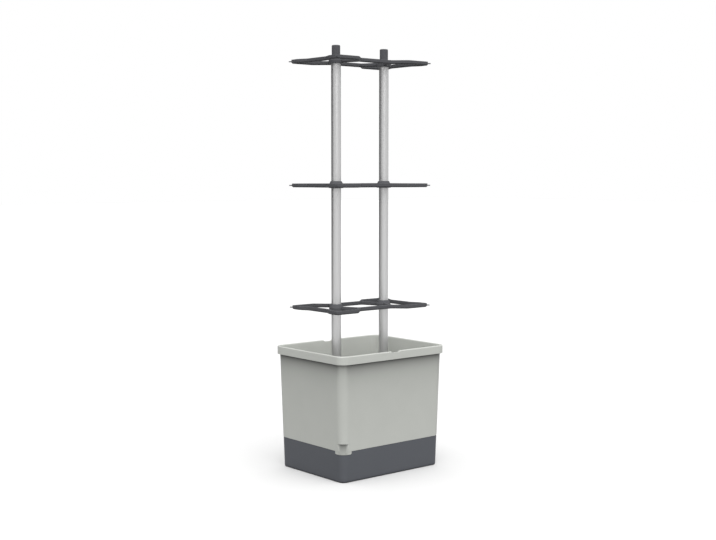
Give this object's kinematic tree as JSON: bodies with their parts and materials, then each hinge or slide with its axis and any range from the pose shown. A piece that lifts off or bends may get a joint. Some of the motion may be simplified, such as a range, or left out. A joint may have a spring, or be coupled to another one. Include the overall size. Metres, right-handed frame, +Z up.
{
  "type": "seedling pot with climbing tower",
  "caption": "Rectangular self-watering seedling pot on a dark water reservoir, with a stacked tower of round tubes and waisted climbing rings.",
  "frame": {"origin": "middle of the underside, on the ground", "axes": "+Z up, +X along the long side from the left tube to the right, -Y the long face with the corner scoop at its left end"},
  "size_m": [0.4004, 0.318, 1.2341],
  "materials": {
    "dark_plastic": "moulded anthracite plastic, fine satin",
    "light_plastic": "moulded light grey plastic, fine satin",
    "cup_plastic": "moulded anthracite plastic, fine satin",
    "tube_metal": "drawn aluminium tube, satin",
    "ring_plastic": "moulded anthracite plastic, fine satin"
  },
  "bodies": {
    "reservoir": {"reservoir_base": "dark_plastic"},
    "planter": {"planter_body": "light_plastic"},
    "front_cup": {"wicking_cup_front": "cup_plastic"},
    "rear_cup": {"wicking_cup_rear": "cup_plastic"},
    "lower_tubes": {"lower_tube_left": "tube_metal", "lower_tube_right": "tube_metal"},
    "lower_ring": {"lower_frame": "ring_plastic"},
    "middle_tubes": {"middle_tube_left": "tube_metal", "middle_tube_right": "tube_metal"},
    "middle_ring": {"middle_frame": "ring_plastic"},
    "upper_tubes": {"upper_tube_left": "tube_metal", "upper_tube_right": "tube_metal"},
    "upper_ring": {"upper_frame": "ring_plastic"}
  },
  "joints": [
    {"name": "planter_lift", "type": "slide", "parent": "reservoir", "child": "planter", "axis": [0, 0, 1], "range_m": [0, 0.1]},
    {"name": "front_cup_lift", "type": "slide", "parent": "planter", "child": "front_cup", "axis": [0, 0, 1], "range_m": [0, 0.355]},
    {"name": "rear_cup_lift", "type": "slide", "parent": "planter", "child": "rear_cup", "axis": [0, 0, 1], "range_m": [0, 0.355]},
    {"name": "lower_tubes_lift", "type": "slide", "parent": "planter", "child": "lower_tubes", "axis": [0, 0, 1], "range_m": [0, 0.29]},
    {"name": "lower_ring_lift", "type": "slide", "parent": "lower_tubes", "child": "lower_ring", "axis": [0, 0, 1], "range_m": [0, 0.03]},
    {"name": "middle_tubes_lift", "type": "slide", "parent": "lower_ring", "child": "middle_tubes", "axis": [0, 0, 1], "range_m": [0, 0.045]},
    {"name": "middle_ring_lift", "type": "slide", "parent": "middle_tubes", "child": "middle_ring", "axis": [0, 0, 1], "range_m": [0, 0.03]},
    {"name": "upper_tubes_lift", "type": "slide", "parent": "middle_ring", "child": "upper_tubes", "axis": [0, 0, 1], "range_m": [0, 0.045]},
    {"name": "upper_ring_lift", "type": "slide", "parent": "upper_tubes", "child": "upper_ring", "axis": [0, 0, 1], "range_m": [0, 0.03]}
  ]
}
